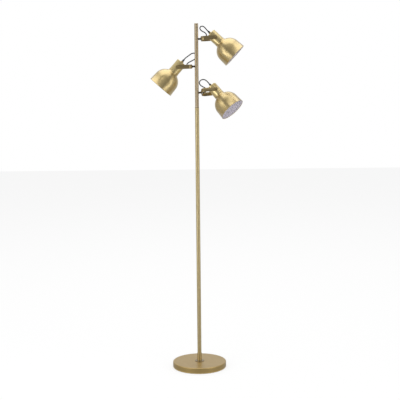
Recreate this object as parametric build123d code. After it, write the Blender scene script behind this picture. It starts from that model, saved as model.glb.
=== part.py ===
from build123d import *
import math
import os

# A tree floor lamp: a weighted round base, a pole of two tubes and three dome heads.
# Units are millimetres. +Z is up and the origin is on the floor, on the pole's axis.
# Seen from the front (looking along +Y), +X is to the right.

# ---- clearances -------------------------------------------------------------
RUNNING_FIT = 0.05      # radial gap round a shaft that turns
FACE_GAP = 0.05         # gap between flat faces that slide on each other
SEAT_FIT = 0.05         # radial gap round a pin or tube that stays put

# ---- overall ----------------------------------------------------------------
JOINT_HEIGHT = 1143.0   # floor to the top of the lower tube
UPPER_POLE_LENGTH = 357.0   # from there to the top of the lamp
LOWER_RIGHT_RISE = 63.0     # each head's stub above the top of the lower tube
UPPER_LEFT_RISE = 176.0
UPPER_RIGHT_RISE = 290.5

# ---- base -------------------------------------------------------------------
BASE_RADIUS = 117.5
BASE_HEIGHT = 25.0      # floor to the top of the cover
COVER_WALL = 1.2
COVER_EDGE_RADIUS = 4.0
FOOT_HEIGHT = 2.5       # rubber pad under the plate
COVER_LIFT = 1.5        # the cover's lower edge above the floor
PLATE_THICKNESS = 1.5
PLATE_INSET = 0.4       # gap between the plate and the cover's wall
WEIGHT_INSET = 20.0     # the weight is this much smaller than the cover
WEIGHT_EDGE = 2.0
COUNTERBORE_RADIUS = 14.0
COUNTERBORE_DEPTH = 11.0
CABLE_CHANNEL_WIDTH = 9.0
CABLE_CHANNEL_DEPTH = 8.0
PLATE_SCREW_COUNT = 3
PLATE_SCREW_CIRCLE_RADIUS = 65.0
PLATE_SCREW_RADIUS = 2.0
PLATE_SCREW_LENGTH = 9.0
PLATE_SCREW_TIP_GAP = 1.0
PLATE_SCREW_HEAD_RADIUS = 3.6
INLET_BORE_RADIUS = 3.5
INLET_BUSH_RADIUS = 5.5
INLET_FLANGE_RADIUS = 7.0
INLET_FLANGE_THICKNESS = 2.0
INLET_LENGTH = 9.0
INLET_CLIP_STEP = 0.8   # the clip behind the cover's wall stands this much proud
INLET_CLIP_LENGTH = 2.0
INLET_CLIP_GAP = 0.6

# ---- pole -------------------------------------------------------------------
LOWER_TUBE_RADIUS = 8.75
UPPER_TUBE_RADIUS = 8.15
TUBE_WALL = 1.2
COLLAR_RADIUS = 10.2
COLLAR_LENGTH = 34.0
COLLAR_EDGE = 0.7
FLANGE_RADIUS = 20.5
FLANGE_THICKNESS = 2.0
FLANGE_EDGE = 0.8
ROD_RADIUS = 5.0        # hollow threaded rod through the base
ROD_BORE_RADIUS = 3.2
ROD_REACH = 22.0        # how far the rod runs up into the pole
ROD_BELOW_NUT = 1.0
BASE_NUT_WIDTH = 17.0   # across flats
BASE_NUT_HEIGHT = 6.0
BASE_WASHER_RADIUS = 12.0
BASE_WASHER_THICKNESS = 1.6
COUPLER_REACH = 32.0    # into each tube
COUPLER_BORE_RADIUS = 4.5
COUPLER_RING = 1.0      # the ring that shows between the tubes
CAP_HEIGHT = 4.0
CAP_PLUG = 10.0
CAP_EDGE = 1.6

# ---- arm: stub and yoke -------------------------------------------------------
STUB_RADIUS = 4.0
STUB_BORE_RADIUS = 2.7
STUB_INNER_END = 2.0    # the stub starts this far from the pole's axis, inside the tube
STUB_SHOULDER_RADIUS = 6.0
STUB_SHOULDER_THICKNESS = 1.4
YOKE_START = 18.8       # pole side of the yoke's web
YOKE_THICKNESS = 2.0
YOKE_HEIGHT = 17.0
YOKE_BEND_RADIUS = 17.0
FRICTION_WASHER_RADIUS = 7.5
FRICTION_WASHER_THICKNESS = 0.8
LOCK_NUT_WIDTH = 13.0   # across flats
LOCK_NUT_HEIGHT = 3.5
LOCK_NUT_ROUND = 0.2    # how far the turned cone cuts the nut's corners back
STUB_THREAD_SHOWING = 0.9
STUB_BUSH_RADIUS = 4.6
STUB_BUSH_LENGTH = 2.5
STUB_BUSH_EDGE = 0.8
PIVOT_REACH = 81.0      # pole axis to the tilt axis

# ---- head -------------------------------------------------------------------
SHADE_RIM_RADIUS = 56.4
SHADE_HEIGHT = 89.5     # rim to the lamp cup
SHADE_SHOULDER_RADIUS = 52.8
SHADE_SHOULDER_HEIGHT = 62.5
SHADE_NECK_HEIGHT = 81.4
SHADE_NECK_RADIUS = 22.8
SHADE_DOME_BEND = 50.0
SHADE_NECK_BEND = 7.0
SHADE_WALL = 1.0
RIM_BEAD_RADIUS = 1.0
CUP_RADIUS = 22.3
CUP_LENGTH = 50.5
CUP_WALL = 1.5
CUP_REAR_WALL = 2.0
CUP_EDGE = 1.5
TILT_AXIS_HEIGHT = 112.5    # rim to the tilt axis, along the shade
SOCKET_RADIUS = 18.0
SOCKET_FACE_HEIGHT = 72.0   # rim to the lampholder's mouth
SOCKET_BODY_LENGTH = 46.0
SOCKET_EDGE = 2.0
SOCKET_CAP_RADIUS = 11.0
SHELL_RADIUS = 13.8
SHELL_WALL = 0.5
SHELL_LENGTH = 26.0
SHELL_INSET = 1.0       # the shell's lip inside the lampholder's mouth
SHELL_FLOOR_GAP = 1.0   # the shell's other end above its seat's floor, short of the contact
CONTACT_RADIUS = 3.5
CONTACT_THICKNESS = 1.2
SHADE_RING_WALL = 3.3
SHADE_RING_LENGTH = 5.0
GLAND_RADIUS = 6.2      # brass ring that the cord grip sits in
GLAND_HEIGHT = 4.5
GLAND_EDGE = 0.6
RELIEF_RADIUS = 4.75
RELIEF_LENGTH = 10.0    # above the gland
RELIEF_EDGE = 1.0
RELIEF_TIP_RADIUS = 3.8
RELIEF_THREAD_RADIUS = 4.0
RELIEF_THREAD_LENGTH = 7.0
RELIEF_THREAD_GAP = 0.5
PIVOT_PAD_RADIUS = 7.0
PIVOT_PAD_HEIGHT = 0.4
PIVOT_BOSS_RADIUS = 5.0
PIVOT_BOSS_GAP = 1.0    # between the boss and the lampholder
PIVOT_SCREW_RADIUS = 2.5
PIVOT_HEAD_RADIUS = 4.5
PIVOT_HEAD_HEIGHT = 2.4
PIVOT_HEAD_EDGE = 1.2
PIVOT_WASHER_THICKNESS = 0.9

# ---- leads --------------------------------------------------------------------
CABLE_RADIUS = 2.3
CABLE_BORE_GAP = 0.2

# ---- worked out from the sizes above -------------------------------------------
COVER_INNER_RADIUS = BASE_RADIUS - COVER_WALL
PLATE_TOP = FOOT_HEIGHT + PLATE_THICKNESS
WEIGHT_TOP = BASE_HEIGHT - COVER_WALL
POLE_FOOT = BASE_HEIGHT + FLANGE_THICKNESS
LOWER_BORE_RADIUS = LOWER_TUBE_RADIUS - TUBE_WALL
UPPER_BORE_RADIUS = UPPER_TUBE_RADIUS - TUBE_WALL
LAMP_HEIGHT = JOINT_HEIGHT + UPPER_POLE_LENGTH
UPPER_TUBE_FOOT = JOINT_HEIGHT + COUPLER_RING
UPPER_TUBE_TOP = LAMP_HEIGHT - CAP_HEIGHT
WEB_INSIDE = YOKE_START + YOKE_THICKNESS
STUB_SHOULDER_START = YOKE_START - FACE_GAP - STUB_SHOULDER_THICKNESS
NUT_START = WEB_INSIDE + FACE_GAP + FRICTION_WASHER_THICKNESS
STUB_END = NUT_START + LOCK_NUT_HEIGHT + STUB_THREAD_SHOWING
BUSH_END = STUB_END + STUB_BUSH_LENGTH
CUP_FRONT = SHADE_HEIGHT - TILT_AXIS_HEIGHT
CUP_REAR = CUP_FRONT + CUP_LENGTH
GLAND_END = CUP_REAR + GLAND_HEIGHT
RELIEF_END = GLAND_END + RELIEF_LENGTH
PAD_FACE = CUP_RADIUS + PIVOT_PAD_HEIGHT
YOKE_HALF_GAP = PAD_FACE + PIVOT_WASHER_THICKNESS + FACE_GAP
YOKE_HALF_WIDTH = YOKE_HALF_GAP + YOKE_THICKNESS
SOCKET_FACE = SOCKET_FACE_HEIGHT - TILT_AXIS_HEIGHT
PIVOT_BOSS_START = SOCKET_RADIUS + PIVOT_BOSS_GAP
SOCKET_REAR = CUP_REAR - CUP_REAR_WALL
CABLE_BORE_RADIUS = CABLE_RADIUS + CABLE_BORE_GAP


class Head:
    """One head: where its arm leaves the pole, how it stands and how its lead runs."""

    def __init__(self, name, height, azimuth, lean, swivel, droop, lead):
        self.name = name
        self.height = height        # of the stub above the floor
        self.azimuth = azimuth      # 0 points the arm to +X, 180 to -X
        self.lean = lean            # rise of the stub's axis above the horizontal
        self.swivel = swivel        # turn of the yoke about its stub
        self.droop = droop          # shade's axis below the arm
        self.lead = lead            # route of the lead in the arm's own frame

    def stub_frame(self):
        return Location((0, 0, self.height)) * Rot(0, 0, self.azimuth) * Rot(0, -self.lean, 0)

    def yoke_frame(self):
        return self.stub_frame() * Location((0, 0, 0), (self.swivel, 0, 0))

    def head_frame(self):
        tilt = Location((PIVOT_REACH, 0, 0), (0, self.droop - 90, 0))
        return self.yoke_frame() * tilt


# The leads' routes, from the bush on the stub to the strain relief: X out along the arm,
# Y towards the back on a right-hand arm, Z up. The two ends are worked out from the pieces.
HEADS = [
    Head("upper_right", JOINT_HEIGHT + UPPER_RIGHT_RISE, 0.0, 3.3, -5.5, 46.2, [
        (34.0, 0.0, 0.0), (39.3, 0.0, 2.4), (42.6, 0.2, 8.0), (44.6, 0.4, 14.8),
        (42.0, 0.6, 21.6), (35.4, 0.9, 27.4), (27.2, 1.2, 31.8), (20.2, 1.2, 37.8),
        (17.4, 0.8, 45.8), (22.0, 0.3, 52.6), (31.2, 0.0, 53.4), (39.4, 0.0, 47.2),
        (45.0, 0.0, 37.9)]),
    Head("upper_left", JOINT_HEIGHT + UPPER_LEFT_RISE, 180.0, -2.0, 0.5, 46.7, [
        (34.2, 0.0, 0.0), (39.4, 0.0, 2.4), (41.8, -0.3, 8.2), (38.8, -1.0, 14.0),
        (31.4, -3.0, 18.8), (21.6, -6.6, 23.2), (11.6, -10.6, 27.8), (2.6, -13.4, 33.4),
        (-2.6, -14.2, 41.4), (-2.2, -14.4, 49.6), (3.6, -13.8, 55.6), (12.8, -11.6, 57.2),
        (22.4, -8.2, 53.2), (31.2, -4.4, 47.0), (38.6, -1.2, 42.2), (45.0, 0.0, 38.2)]),
    Head("lower_right", JOINT_HEIGHT + LOWER_RIGHT_RISE, 0.0, 5.5, -24.0, 56.5, [
        (34.0, 0.0, 0.0), (39.5, 0.0, 2.6), (42.2, 0.2, 8.4), (41.2, 0.4, 15.0),
        (35.8, 0.7, 20.8), (28.2, 1.0, 26.0), (20.8, 1.2, 31.8), (15.6, 1.1, 39.4),
        (14.8, 0.7, 48.4), (20.4, 0.3, 56.2), (30.2, 0.1, 59.8), (40.6, 0.0, 57.2),
        (47.8, 0.0, 50.0), (52.2, 0.0, 43.6)]),
]


# ---- helpers --------------------------------------------------------------------

def disc(radius, bottom, top):
    """A plain upright cylinder between two heights."""
    return Pos(0, 0, bottom) * Cylinder(radius, top - bottom, align=(Align.CENTER, Align.CENTER, Align.MIN))


def tube(outer, inner, bottom, top):
    """An upright tube between two heights."""
    return disc(outer, bottom, top) - disc(inner, bottom - 1, top + 1)


def hexagon(width, bottom, top):
    """An upright hexagonal bar, its size given across the flats."""
    outline = RegularPolygon(width / 2, 6, major_radius=False)
    return Pos(0, 0, bottom) * extrude(outline, top - bottom)


def along_x(shape):
    """Turn a piece made upright so that its axis runs out along +X."""
    return Rot(0, 90, 0) * shape


def along_y(shape):
    """Turn a piece made upright so that its axis runs along +Y."""
    return Rot(-90, 0, 0) * shape


def edges_at(shape, height):
    """The edges of a shape that lie at one height."""
    return shape.edges().filter_by_position(Axis.Z, height - 0.001, height + 0.001)


# ---- base -----------------------------------------------------------------------

def base_cover():
    """Pressed round cover, open below, with a rounded top edge."""
    outer = disc(BASE_RADIUS, COVER_LIFT, BASE_HEIGHT)
    outer = fillet(edges_at(outer, BASE_HEIGHT), COVER_EDGE_RADIUS)
    inner = disc(COVER_INNER_RADIUS, COVER_LIFT - 1, WEIGHT_TOP)
    inner = fillet(edges_at(inner, WEIGHT_TOP), COVER_EDGE_RADIUS - COVER_WALL)
    rod_hole = disc(ROD_RADIUS + SEAT_FIT, 0, BASE_HEIGHT + 1)
    inlet_hole = inlet_frame() * disc(INLET_BUSH_RADIUS + SEAT_FIT, -INLET_LENGTH, INLET_LENGTH)
    return outer - inner - rod_hole - inlet_hole


def inlet_frame():
    """On the rear of the base cover, half way up, pointing backwards."""
    middle = (COVER_LIFT + BASE_HEIGHT) / 2
    return Location((0, BASE_RADIUS, middle), (-90, 0, 0))


def inlet_bush():
    """Flanged bush that guards the mains lead in the cover's rear wall."""
    body = disc(INLET_BUSH_RADIUS, INLET_FLANGE_THICKNESS - INLET_LENGTH, INLET_FLANGE_THICKNESS)
    flange = disc(INLET_FLANGE_RADIUS, 0, INLET_FLANGE_THICKNESS)
    clip_end = -COVER_WALL - INLET_CLIP_GAP
    clip = disc(INLET_BUSH_RADIUS + INLET_CLIP_STEP, clip_end - INLET_CLIP_LENGTH, clip_end)
    bush = body + flange + clip
    bush = bush - disc(INLET_BORE_RADIUS, -INLET_LENGTH, INLET_LENGTH)
    # the flange is hollowed to the cover's round wall, so that it sits flush on it
    wall = inlet_frame().inverse() * disc(BASE_RADIUS + SEAT_FIT, COVER_LIFT, BASE_HEIGHT)
    shoulder = disc(INLET_FLANGE_RADIUS + 1, -COVER_WALL, INLET_FLANGE_THICKNESS)
    shoulder = shoulder - disc(INLET_BUSH_RADIUS, -COVER_WALL - 1, INLET_FLANGE_THICKNESS + 1)
    return inlet_frame() * (bush - (shoulder & wall))


def base_weight():
    """Cast disc that keeps the lamp upright, with a counterbore and a channel for the lead."""
    weight = disc(BASE_RADIUS - WEIGHT_INSET, PLATE_TOP, WEIGHT_TOP)
    weight = chamfer(edges_at(weight, WEIGHT_TOP), WEIGHT_EDGE)
    weight = weight - disc(ROD_RADIUS + SEAT_FIT, 0, WEIGHT_TOP + 1)
    weight = weight - disc(COUNTERBORE_RADIUS, 0, PLATE_TOP + COUNTERBORE_DEPTH)
    channel = Box(CABLE_CHANNEL_WIDTH, BASE_RADIUS, CABLE_CHANNEL_DEPTH,
                  align=(Align.CENTER, Align.MIN, Align.MIN))
    weight = weight - Pos(0, 0, PLATE_TOP) * channel
    screw_hole_end = PLATE_TOP + PLATE_SCREW_LENGTH + PLATE_SCREW_TIP_GAP
    for place in plate_screw_places():
        weight = weight - place * disc(PLATE_SCREW_RADIUS + SEAT_FIT, 0, screw_hole_end)
    return weight


def plate_screw_places():
    return PolarLocations(PLATE_SCREW_CIRCLE_RADIUS, PLATE_SCREW_COUNT, start_angle=-90)


def base_plate():
    """Flat sheet that closes the underside."""
    plate = disc(COVER_INNER_RADIUS - PLATE_INSET, FOOT_HEIGHT, PLATE_TOP)
    for place in plate_screw_places():
        plate = plate - place * screw_head(SEAT_FIT)
    return plate


def screw_head(extra):
    """Countersunk head as deep as the plate, or its seat when extra is a clearance."""
    head = Cone(PLATE_SCREW_HEAD_RADIUS + extra, PLATE_SCREW_RADIUS + extra, PLATE_THICKNESS,
                align=(Align.CENTER, Align.CENTER, Align.MIN))
    return Pos(0, 0, FOOT_HEIGHT) * head


def plate_screws():
    """Countersunk screws through the plate into the weight."""
    shank = disc(PLATE_SCREW_RADIUS, PLATE_TOP, PLATE_TOP + PLATE_SCREW_LENGTH)
    return Compound([place * (screw_head(0) + shank) for place in plate_screw_places()])


def foot_pad():
    """Rubber pad under the plate that the lamp stands on."""
    return disc(COVER_INNER_RADIUS - PLATE_INSET, 0, FOOT_HEIGHT)


# ---- pole -----------------------------------------------------------------------

def base_rod():
    """Hollow threaded rod that ties the pole to the base."""
    bottom = PLATE_TOP + COUNTERBORE_DEPTH - BASE_WASHER_THICKNESS - BASE_NUT_HEIGHT - ROD_BELOW_NUT
    return tube(ROD_RADIUS, ROD_BORE_RADIUS, bottom, POLE_FOOT + ROD_REACH)


def base_washer():
    top = PLATE_TOP + COUNTERBORE_DEPTH
    return tube(BASE_WASHER_RADIUS, ROD_RADIUS + SEAT_FIT, top - BASE_WASHER_THICKNESS, top)


def base_nut():
    top = PLATE_TOP + COUNTERBORE_DEPTH - BASE_WASHER_THICKNESS
    nut = hexagon(BASE_NUT_WIDTH, top - BASE_NUT_HEIGHT, top)
    return nut - disc(ROD_RADIUS + SEAT_FIT, 0, top + 1)


def pole_flange():
    """Flat washer between the cover and the collar."""
    flange = tube(FLANGE_RADIUS, ROD_RADIUS + SEAT_FIT, BASE_HEIGHT, POLE_FOOT)
    return fillet(edges_at(flange, POLE_FOOT).sort_by(Edge.length)[-1:], FLANGE_EDGE)


def pole_collar():
    """Short sleeve round the foot of the pole."""
    top = POLE_FOOT + COLLAR_LENGTH
    collar = tube(COLLAR_RADIUS, LOWER_TUBE_RADIUS + SEAT_FIT, POLE_FOOT, top)
    return fillet(edges_at(collar, top).sort_by(Edge.length)[-1:], COLLAR_EDGE)


def pole_insert():
    """Threaded plug in the foot of the lower tube that the rod screws into."""
    return tube(LOWER_BORE_RADIUS - SEAT_FIT, ROD_RADIUS + SEAT_FIT, POLE_FOOT, POLE_FOOT + ROD_REACH)


def lower_tube():
    return tube(LOWER_TUBE_RADIUS, LOWER_BORE_RADIUS, POLE_FOOT, JOINT_HEIGHT)


def tube_coupler():
    """Hollow coupler that joins the tubes; its thin ring shows between them."""
    ring = disc(LOWER_TUBE_RADIUS, JOINT_HEIGHT, UPPER_TUBE_FOOT)
    lower = disc(LOWER_BORE_RADIUS - SEAT_FIT, JOINT_HEIGHT - COUPLER_REACH, JOINT_HEIGHT)
    upper = disc(UPPER_BORE_RADIUS - SEAT_FIT, UPPER_TUBE_FOOT, UPPER_TUBE_FOOT + COUPLER_REACH)
    bore = disc(COUPLER_BORE_RADIUS, JOINT_HEIGHT - COUPLER_REACH - 1, JOINT_HEIGHT + COUPLER_REACH + 5)
    return ring + lower + upper - bore


def upper_tube():
    """Upper tube, with a hole in its wall for each stub."""
    body = tube(UPPER_TUBE_RADIUS, UPPER_BORE_RADIUS, UPPER_TUBE_FOOT, UPPER_TUBE_TOP)
    for head in HEADS:
        hole = disc(STUB_RADIUS + SEAT_FIT, 0, YOKE_START)
        body = body - head.stub_frame() * along_x(hole)
    return body


def top_cap():
    """Cap with a soft edge, plugged into the top of the pole."""
    cap = disc(UPPER_TUBE_RADIUS, UPPER_TUBE_TOP, LAMP_HEIGHT)
    cap = fillet(edges_at(cap, LAMP_HEIGHT), CAP_EDGE)
    return cap + disc(UPPER_BORE_RADIUS - SEAT_FIT, UPPER_TUBE_TOP - CAP_PLUG, UPPER_TUBE_TOP)


# ---- arm pieces, made along +X from the pole's axis -----------------------------------

def stub():
    """Hollow stub, brazed into the pole, with a shoulder that the yoke turns against."""
    body = disc(STUB_RADIUS, STUB_INNER_END, STUB_END)
    shoulder = disc(STUB_SHOULDER_RADIUS, STUB_SHOULDER_START, YOKE_START - FACE_GAP)
    bore = disc(STUB_BORE_RADIUS, 0, STUB_END + 1)
    return along_x(body + shoulder - bore)


def friction_washer():
    start = WEB_INSIDE + FACE_GAP
    end = start + FRICTION_WASHER_THICKNESS
    return along_x(tube(FRICTION_WASHER_RADIUS, STUB_RADIUS + SEAT_FIT, start, end))


def lock_nut():
    """Hexagonal nut that clamps the yoke on its stub."""
    nut = hexagon(LOCK_NUT_WIDTH, NUT_START, NUT_START + LOCK_NUT_HEIGHT)
    end_radius = LOCK_NUT_WIDTH / 2 + LOCK_NUT_ROUND
    corners = Cone(end_radius + LOCK_NUT_HEIGHT, end_radius, LOCK_NUT_HEIGHT,
                   align=(Align.CENTER, Align.CENTER, Align.MIN))
    nut = nut & (Pos(0, 0, NUT_START) * corners)
    return along_x(nut - disc(STUB_RADIUS + SEAT_FIT, NUT_START - 1, STUB_END))


def stub_bush():
    """Black cap on the stub's end with a smooth hole for the lead."""
    cap = disc(STUB_BUSH_RADIUS, STUB_END, BUSH_END)
    cap = fillet(edges_at(cap, BUSH_END), STUB_BUSH_EDGE)
    return along_x(cap - disc(CABLE_BORE_RADIUS, STUB_END - 1, BUSH_END + 1))


def yoke():
    """U-shaped strap: a web on the stub, round bends and two cheeks that end in a half round."""
    length = PIVOT_REACH + YOKE_HEIGHT / 2 - YOKE_START
    outer = bent_block(YOKE_START, length, YOKE_HALF_WIDTH, YOKE_BEND_RADIUS)
    inner = bent_block(WEB_INSIDE, length, YOKE_HALF_GAP, YOKE_BEND_RADIUS - YOKE_THICKNESS)
    strap = outer - inner
    strap = strap & yoke_side_outline(length)
    strap = strap - along_x(disc(STUB_RADIUS + RUNNING_FIT, YOKE_START - 1, WEB_INSIDE + 1))
    pivot_hole = disc(PIVOT_SCREW_RADIUS + RUNNING_FIT, -YOKE_HALF_WIDTH - 1, YOKE_HALF_WIDTH + 1)
    return strap - Pos(PIVOT_REACH, 0, 0) * along_y(pivot_hole)


def bent_block(start, length, half_width, bend):
    """A block whose two corners next to the pole are rounded, as seen from above."""
    block = Pos(start, 0, 0) * Box(length, 2 * half_width, YOKE_HEIGHT,
                                   align=(Align.MIN, Align.CENTER, Align.CENTER))
    corners = block.edges().filter_by(Axis.Z).group_by(Axis.X)[0]
    return fillet(corners, bend)


def yoke_side_outline(length):
    """The strap's outline seen from the side: straight, with a half-round outer end."""
    straight = PIVOT_REACH - YOKE_START
    bar = Pos(YOKE_START, 0, 0) * Box(straight, 2 * YOKE_HALF_WIDTH + 2, YOKE_HEIGHT,
                                      align=(Align.MIN, Align.CENTER, Align.CENTER))
    end = Pos(PIVOT_REACH, 0, 0) * along_y(disc(YOKE_HEIGHT / 2, -YOKE_HALF_WIDTH - 1, YOKE_HALF_WIDTH + 1))
    return bar + end


# ---- head pieces, made upright about the tilt axis, shade downwards ----------------------

def both_sides(piece):
    """A piece on the +Y side and its mirror image on the -Y side."""
    return [piece, mirror(piece, Plane.XZ)]


def lamp_cup():
    """Cylinder that holds the lampholder, with a pad and a boss for each pivot screw."""
    outer = disc(CUP_RADIUS, CUP_FRONT, CUP_REAR)
    outer = fillet(edges_at(outer, CUP_REAR), CUP_EDGE)
    inner = disc(CUP_RADIUS - CUP_WALL, CUP_FRONT - 1, SOCKET_REAR)
    pad = along_y(disc(PIVOT_PAD_RADIUS, CUP_RADIUS - CUP_WALL, PAD_FACE))
    boss = along_y(disc(PIVOT_BOSS_RADIUS, PIVOT_BOSS_START, CUP_RADIUS - CUP_WALL / 2))
    cup = outer - inner
    for piece in both_sides(pad) + both_sides(boss):
        cup = cup + piece
    screw_hole = along_y(disc(PIVOT_SCREW_RADIUS + SEAT_FIT, -PAD_FACE - 1, PAD_FACE + 1))
    relief_hole = disc(RELIEF_THREAD_RADIUS + SEAT_FIT, SOCKET_REAR - 1, CUP_REAR + 1)
    return cup - screw_hole - relief_hole


def pivot_screws():
    """Two domed screws through the cheeks into the cup's bosses."""
    shank = along_y(disc(PIVOT_SCREW_RADIUS, PIVOT_BOSS_START, YOKE_HALF_WIDTH + FACE_GAP))
    start = YOKE_HALF_WIDTH + FACE_GAP
    head = disc(PIVOT_HEAD_RADIUS, start, start + PIVOT_HEAD_HEIGHT)
    head = fillet(edges_at(head, start + PIVOT_HEAD_HEIGHT), PIVOT_HEAD_EDGE)
    return Compound(both_sides(shank + along_y(head)))


def pivot_washers():
    outer_face = PAD_FACE + PIVOT_WASHER_THICKNESS
    washer = tube(PIVOT_PAD_RADIUS, PIVOT_SCREW_RADIUS + SEAT_FIT, PAD_FACE, outer_face)
    return Compound(both_sides(along_y(washer)))


def lampholder():
    """Insulating body of the lampholder, bored for its threaded shell."""
    rear = SOCKET_FACE + SOCKET_BODY_LENGTH
    body = disc(SOCKET_RADIUS, SOCKET_FACE, rear)
    body = chamfer(edges_at(body, rear), SOCKET_EDGE)
    body = body + disc(SOCKET_CAP_RADIUS, rear - 1, SOCKET_REAR)
    shell_seat = disc(SHELL_RADIUS + SEAT_FIT, SOCKET_FACE - 1, SOCKET_FACE + SHELL_LENGTH)
    contact_seat = disc(CONTACT_RADIUS + SEAT_FIT, 0, CONTACT_THICKNESS / 2)
    contact_seat = Pos(0, 0, SOCKET_FACE + SHELL_LENGTH) * contact_seat
    thread_end = CUP_REAR - RELIEF_THREAD_LENGTH - RELIEF_THREAD_GAP
    thread = disc(RELIEF_THREAD_RADIUS + SEAT_FIT, thread_end, CUP_REAR)
    return body - shell_seat - contact_seat - thread


def threaded_shell():
    """Brass shell that the bulb screws into."""
    top = SOCKET_FACE + SHELL_LENGTH - SHELL_FLOOR_GAP
    return tube(SHELL_RADIUS, SHELL_RADIUS - SHELL_WALL, SOCKET_FACE + SHELL_INSET, top)


def centre_contact():
    bottom = SOCKET_FACE + SHELL_LENGTH - CONTACT_THICKNESS / 2
    return disc(CONTACT_RADIUS, bottom, bottom + CONTACT_THICKNESS)


def shade():
    """Spun dome: a slightly flared side, a round shoulder and a short neck."""
    rim = -TILT_AXIS_HEIGHT
    outline = FilletPolyline(
        (SHADE_RIM_RADIUS, 0, rim),
        (SHADE_SHOULDER_RADIUS, 0, rim + SHADE_SHOULDER_HEIGHT),
        (SHADE_NECK_RADIUS, 0, rim + SHADE_NECK_HEIGHT),
        (SHADE_NECK_RADIUS, 0, CUP_FRONT),
        radius=[SHADE_DOME_BEND, SHADE_NECK_BEND])
    closing = Polyline((SHADE_NECK_RADIUS, 0, CUP_FRONT), (0, 0, CUP_FRONT), (0, 0, rim),
                       (SHADE_RIM_RADIUS, 0, rim))
    body = revolve(make_face(outline.edges() + closing.edges()), Axis.Z)
    mouth = body.faces().sort_by(Axis.Z)[0]
    body = offset(body, amount=-SHADE_WALL, openings=mouth)
    bead = Pos(0, 0, rim + RIM_BEAD_RADIUS) * Torus(SHADE_RIM_RADIUS - SHADE_WALL / 2, RIM_BEAD_RADIUS)
    return body + bead - disc(SOCKET_RADIUS + SEAT_FIT, CUP_FRONT - 5, CUP_FRONT + 5)


def shade_ring():
    """Ring on the lampholder that clamps the shade against the cup."""
    top = CUP_FRONT - SHADE_WALL
    ring = tube(SOCKET_RADIUS + SHADE_RING_WALL, SOCKET_RADIUS + SEAT_FIT, top - SHADE_RING_LENGTH, top)
    return ring


def cord_gland():
    """Brass ring on the cup's rear that the cord grip sits in."""
    ring = tube(GLAND_RADIUS, RELIEF_RADIUS + SEAT_FIT, CUP_REAR, GLAND_END)
    return fillet(edges_at(ring, GLAND_END).sort_by(Edge.length)[-1:], GLAND_EDGE)


def strain_relief():
    """Black cord grip screwed through the cup's rear wall into the lampholder."""
    grip = Cone(RELIEF_RADIUS, RELIEF_TIP_RADIUS, RELIEF_LENGTH,
                align=(Align.CENTER, Align.CENTER, Align.MIN))
    grip = Pos(0, 0, GLAND_END) * grip
    grip = fillet(edges_at(grip, RELIEF_END), RELIEF_EDGE)
    foot = disc(RELIEF_RADIUS, CUP_REAR, GLAND_END)
    thread = disc(RELIEF_THREAD_RADIUS, CUP_REAR - RELIEF_THREAD_LENGTH, CUP_REAR)
    return grip + foot + thread - disc(CABLE_BORE_RADIUS, 0, RELIEF_END + 1)


# ---- leads ------------------------------------------------------------------------

def lead_points(head):
    """The lead's route in the yoke's frame, from the stub's bush to the strain relief."""
    angle = math.radians(head.droop)
    relief_end = (PIVOT_REACH - RELIEF_END * math.cos(angle), 0, RELIEF_END * math.sin(angle))
    return [(BUSH_END, 0, 0)] + head.lead + [relief_end]


def corner_radii(points):
    """For each corner: 0.45 of its shorter run, over the tangent of half its turn."""
    radii = []
    for before, corner, after in zip(points, points[1:], points[2:]):
        arrive = Vector(corner) - Vector(before)
        leave = Vector(after) - Vector(corner)
        turn = math.radians(arrive.get_angle(leave))
        radii.append(0.45 * min(arrive.length, leave.length) / math.tan(turn / 2))
    return radii


def lead(head):
    """The free lead of one head, swept along straight runs joined by arcs."""
    points = lead_points(head)
    radii = corner_radii(points)
    path = FilletPolyline(*points, radius=radii)
    start = Plane(origin=path @ 0, z_dir=path % 0)
    tube_solid = sweep(start * Circle(CABLE_RADIUS), path=path)
    share = tube_solid.volume / (math.pi * CABLE_RADIUS ** 2 * path.length)
    print(head.name, "lead: length", round(path.length, 1), "volume share", round(share, 4))
    print("  radii", [round(r, 1) for r in radii])
    return tube_solid


# ---- write one file per sub-part -----------------------------------------------------

def write(name, shape):
    export_step(shape, os.path.join("parts", name + ".step"))


os.makedirs("parts", exist_ok=True)

STAND = {
    "foot_pad": foot_pad,
    "base_plate": base_plate,
    "plate_screws": plate_screws,
    "base_weight": base_weight,
    "base_cover": base_cover,
    "inlet_bush": inlet_bush,
    "base_rod": base_rod,
    "base_washer": base_washer,
    "base_nut": base_nut,
    "pole_flange": pole_flange,
    "pole_collar": pole_collar,
    "pole_insert": pole_insert,
    "lower_tube": lower_tube,
    "tube_coupler": tube_coupler,
    "upper_tube": upper_tube,
    "top_cap": top_cap,
}

ON_STUB = {
    "stub": stub(),
    "stub_bush": stub_bush(),
}

# identical fasteners share one file
STUB_FASTENERS = {
    "friction_washers": friction_washer(),
    "lock_nuts": lock_nut(),
}

ON_HEAD = {
    "lamp_cup": lamp_cup(),
    "pivot_screws": pivot_screws(),
    "pivot_washers": pivot_washers(),
    "lampholder": lampholder(),
    "threaded_shell": threaded_shell(),
    "centre_contact": centre_contact(),
    "shade": shade(),
    "shade_ring": shade_ring(),
    "cord_gland": cord_gland(),
    "strain_relief": strain_relief(),
}

YOKE = yoke()

for name, make in STAND.items():
    write(name, make())

for name, piece in STUB_FASTENERS.items():
    write(name, Compound([head.stub_frame() * piece for head in HEADS]))

for head in HEADS:
    for name, piece in ON_STUB.items():
        write(head.name + "_" + name, head.stub_frame() * piece)
    write(head.name + "_yoke", head.yoke_frame() * YOKE)
    write(head.name + "_lead", head.yoke_frame() * lead(head))
    for name, piece in ON_HEAD.items():
        write(head.name + "_" + name, head.head_frame() * piece)
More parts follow.
